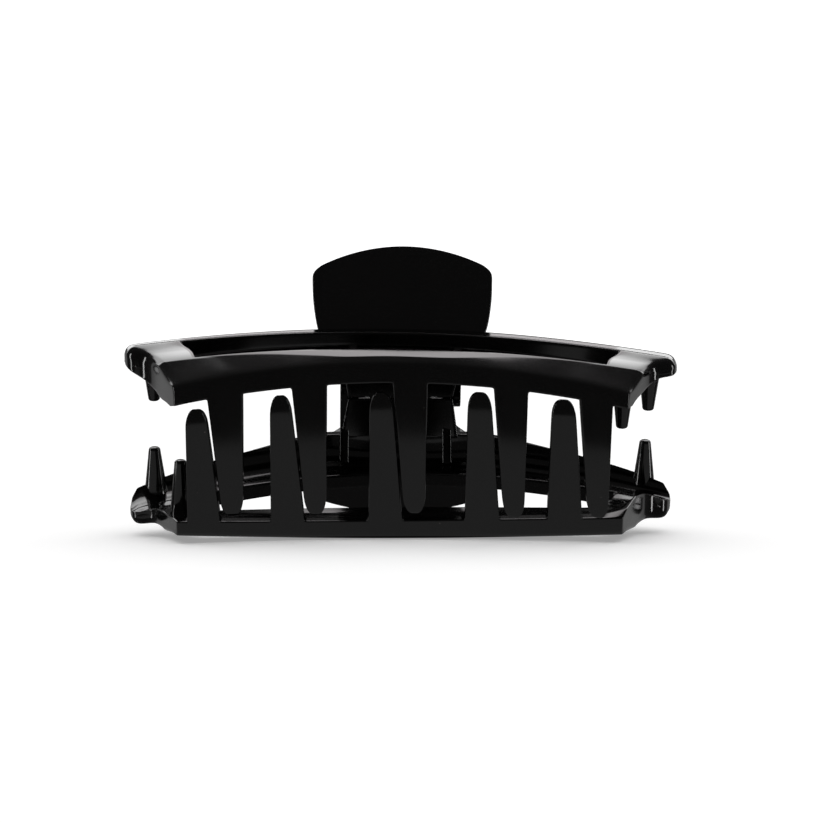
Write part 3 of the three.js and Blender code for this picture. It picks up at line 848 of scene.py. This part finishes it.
def steel(name, tone, low, high):
    """Drawn steel of a tone, with its roughness between low and high."""
    material, n, shader = new_material(name)
    where = n.add("ShaderNodeTexCoord").outputs["Object"]
    stretch = n.add("ShaderNodeMapping", {"Vector": where, "Scale": (4000.0, 500.0, 500.0)})
    lines = {"Vector": stretch.outputs["Vector"], "Scale": 1.0, "Detail": 3.0}
    drawn = n.add("ShaderNodeTexNoise", lines).outputs["Fac"]
    colour = n.ramp(drawn, [(0.3, tuple(v * 0.8 for v in tone)), (0.7, tone)])
    n.tree.links.new(colour, shader.inputs["Base Color"])
    n.tree.links.new(n.ramp(drawn, [(0.3, low), (0.7, high)]), shader.inputs["Roughness"])
    bump = n.add("ShaderNodeBump", {"Height": drawn, "Strength": 0.15, "Distance": 0.00003})
    n.tree.links.new(bump.outputs["Normal"], shader.inputs["Normal"])
    shader.inputs["Metallic"].default_value = 1.0
    return material


# ---------------------------------------------------------------- set, lights and camera
# In metres and degrees.
FLOOR_HALF, FLOOR_GLOW = 3.0, 0.3
ROOM_HALF, ROOM_DISTANCE, ROOM_LOW, ROOM_HIGH = 3.2, 3.1, -0.02, 4
BACK_CARD_HALF, BACK_CARD_Y = 0.044, 0.06
BACK_CARD_LOW, BACK_CARD_HIGH = 0.052, 0.098
# The low edge, high edge and strength of each card at the ends of the back card.
END_CARDS = [(0.052, 0.098, 2.3), (0.098, 0.112, 2.2), (0.112, 0.118, 1.0)]
END_CARD_REACH = 0.13
FRONT_CARD_LOW, FRONT_CARD_HIGH, FRONT_CARD_Z = (-0.09, -0.052), (0.09, -0.014), 0.0005
SIDE_DISTANCE, SIDE_CARD_TURN, REAR_CARD_TURN = 0.5, 82, 142
SIDE_CARD_HALF, SIDE_CARD_LOW, SIDE_CARD_HIGH = 0.03, -0.2, 0.3
REAR_CARD_HALF, REAR_CARD_LOW, REAR_CARD_HIGH = 0.2, -0.2, 0.12
SUN_ANGLE, SUN_TILT = 110, -18
# The camera looks at a point of the drawing, in millimetres, at a small angle to the mid-plane.
CAMERA_DISTANCE, CAMERA_FOCUS, CAMERA_ANGLE = 0.3, (0, 15, 0), 16.5


def glow(name, strength, tone=(1, 1, 1)):
    """A material that only gives light."""
    material = bpy.data.materials.new(name)
    material.use_nodes = True
    tree = material.node_tree
    tree.nodes.clear()
    n = Nodes(tree)
    light = n.add("ShaderNodeEmission", {"Color": (*tone, 1), "Strength": strength})
    out = n.add("ShaderNodeOutputMaterial")
    tree.links.new(light.outputs[0], out.inputs["Surface"])
    return material


def card(name, corners, material, glossy=True, seen=True, diffuse=True, shadow=False):
    """A flat four-cornered card of the set, with what may see it."""
    mesh = bpy.data.meshes.new(name)
    mesh.from_pydata([tuple(c) for c in corners], [], [(0, 1, 2, 3)])
    obj = bpy.data.objects.new(name, mesh)
    bpy.context.scene.collection.objects.link(obj)
    mesh.materials.append(material)
    obj.visible_glossy = glossy
    obj.visible_camera = seen
    obj.visible_diffuse = diffuse
    obj.visible_shadow = shadow
    return obj


def upright(x0, x1, y, z0, z1):
    """The corners of an upright rectangle across the view."""
    return [Vector(c) for c in ((x0, y, z0), (x1, y, z0), (x1, y, z1), (x0, y, z1))]


def turned(corners, degrees):
    turn = Matrix.Rotation(math.radians(degrees), 3, "Z")
    return [turn @ c for c in corners]


def reflector(name, corners, material):
    """A card that only reflections see."""
    return card(name, corners, material, seen=False, diffuse=False)


def pale_floor():
    """A matt floor. Its own faint light keeps the shadow soft."""
    material, n, shader = new_material("pale_floor")
    where = n.add("ShaderNodeTexCoord").outputs["Object"]
    grain = n.add("ShaderNodeTexNoise", {"Vector": where, "Scale": 40.0, "Detail": 2.0}).outputs["Fac"]
    n.tree.links.new(n.ramp(grain, [(0.3, 0.88), (0.7, 0.9)]), shader.inputs["Base Color"])
    shader.inputs["Emission Color"].default_value = (1, 1, 1, 1)
    shader.inputs["Emission Strength"].default_value = FLOOR_GLOW
    shader.inputs["Roughness"].default_value = 0.9
    shader.inputs["Specular IOR Level"].default_value = 0.0
    r = FLOOR_HALF
    corners = [(-r, -r, 0), (r, -r, 0), (r, r, 0), (-r, r, 0)]
    return card("floor", corners, material, glossy=False, shadow=True)


def build_set():
    scene = bpy.context.scene
    world = bpy.data.worlds.new("studio")
    world.use_nodes = True
    world.node_tree.nodes["Background"].inputs["Color"].default_value = (1.0, 0.98, 0.98, 1)
    world.node_tree.nodes["Background"].inputs["Strength"].default_value = 0.065
    scene.world = world
    scene.view_settings.view_transform = "Standard"
    scene.view_settings.look = "None"

    pale_floor()
    # white walls all round, which only the camera sees
    for k in range(4):
        wall = upright(-ROOM_HALF, ROOM_HALF, ROOM_DISTANCE, ROOM_LOW, ROOM_HIGH)
        corners = turned(wall, 90 * k)
        card(f"room_{k}", corners, glow(f"room_white_{k}", 1.3), glossy=False, diffuse=False)
    # a white card behind, whose reflection lights the tops of the frames
    corners = upright(-BACK_CARD_HALF, BACK_CARD_HALF, BACK_CARD_Y, BACK_CARD_LOW, BACK_CARD_HIGH)
    reflector("back_card", corners, glow("card_white", 1.35, (1.0, 0.96, 0.97)))
    for name, sign in (("left", -1), ("right", 1)):
        # brighter and taller at both ends, where the tops mirror what is higher up
        for step, (low, high, strength) in enumerate(END_CARDS):
            corners = upright(sign * BACK_CARD_HALF, sign * END_CARD_REACH, BACK_CARD_Y, low, high)
            reflector(f"back_card_{name}_{step}", corners, glow(f"card_{name}_{step}", strength))
        # a dim one further round, which greys the rims
        corners = upright(-REAR_CARD_HALF, REAR_CARD_HALF, -SIDE_DISTANCE, REAR_CARD_LOW, REAR_CARD_HIGH)
        corners = turned(corners, sign * REAR_CARD_TURN)
        reflector(f"rear_card_{name}", corners, glow(f"card_rear_{name}", 0.35))
    # a low card in front, which greys the faces of the teeth
    (x0, y0), (x1, y1), z = FRONT_CARD_LOW, FRONT_CARD_HIGH, FRONT_CARD_Z
    corners = [(x0, y0, z), (x1, y0, z), (x1, y1, z), (x0, y1, z)]
    reflector("front_card", corners, glow("card_grey", 0.32))
    # tall cards at both sides, which draw the streaks on the pegs
    for name, sign in (("left", -1), ("right", 1)):
        corners = upright(-SIDE_CARD_HALF, SIDE_CARD_HALF, -SIDE_DISTANCE, SIDE_CARD_LOW, SIDE_CARD_HIGH)
        corners = turned(corners, sign * SIDE_CARD_TURN)
        reflector(f"side_card_{name}", corners, glow(f"card_{name}", 9.0))
    # the soft light from above that makes the floor's shadow
    data = bpy.data.lights.new("ceiling", "SUN")
    data.energy = 2.6
    data.angle = math.radians(SUN_ANGLE)
    ceiling = bpy.data.objects.new("ceiling", data)
    bpy.context.scene.collection.objects.link(ceiling)
    ceiling.rotation_euler = (math.radians(SUN_TILT), 0, 0)
    ceiling.visible_glossy = False


def camera():
    """A camera close in front of the clip, looking down on it a little."""
    focus = to_world(CAMERA_FOCUS, "upper")
    rise = math.radians(CAMERA_ANGLE) - TILT
    back = Vector((0, -math.cos(rise), math.sin(rise)))
    data = bpy.data.cameras.new("camera")
    data.sensor_width = 36.0
    data.lens = 80.5
    data.shift_x = 0.0134
    data.shift_y = 0.0169
    data.clip_start = 0.01
    data.clip_end = 20
    obj = bpy.data.objects.new("camera", data)
    bpy.context.scene.collection.objects.link(obj)
    obj.location = focus + back * CAMERA_DISTANCE
    obj.rotation_mode = "QUATERNION"
    obj.rotation_quaternion = (-back).to_track_quat("-Z", "Y")
    bpy.context.scene.camera = obj


plastic = black_plastic()
for side in ("lower", "upper"):
    jaw(side).data.materials.append(plastic)
hinge_pin().data.materials.append(steel("pin_steel", (0.62, 0.61, 0.60), 0.22, 0.34))
spring().data.materials.append(steel("spring_steel", (0.56, 0.55, 0.54), 0.2, 0.32))
build_set()
camera()
